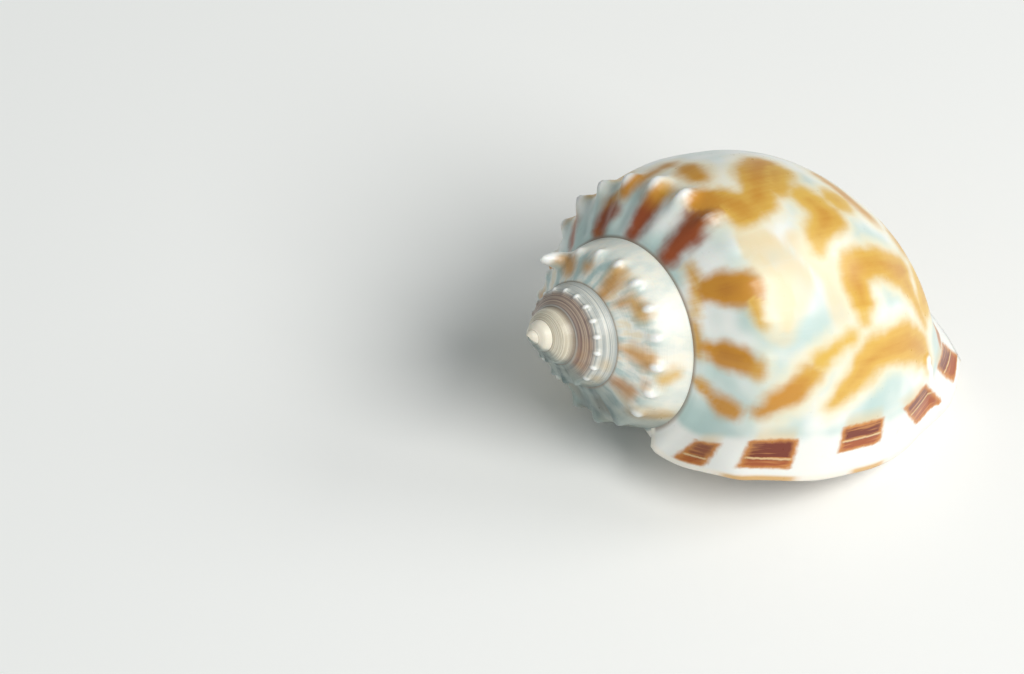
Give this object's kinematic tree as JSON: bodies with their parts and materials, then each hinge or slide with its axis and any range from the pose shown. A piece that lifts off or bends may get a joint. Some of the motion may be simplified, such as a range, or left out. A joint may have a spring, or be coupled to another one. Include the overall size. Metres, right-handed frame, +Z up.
{
  "type": "bonnet shell",
  "caption": "Glossy bonnet shell lying on its aperture: knobbed spire, large round body whorl, thick turned-out lip, shield and short canal.",
  "frame": {"origin": "below the middle of the shell's box, on the surface it lies on", "axes": "+X along the coiling axis towards the canal, the apex at -X; the outer lip faces -Y; +Z is up when the shell lies on its lip and its belly"},
  "size_m": [0.0808, 0.0582, 0.0494],
  "materials": {
    "shell": "glossy porcelain-like shell, white with golden tan blotches and dark brown squares on the lip"
  },
  "bodies": {
    "root": {"shell": "shell"}
  },
  "joints": []
}
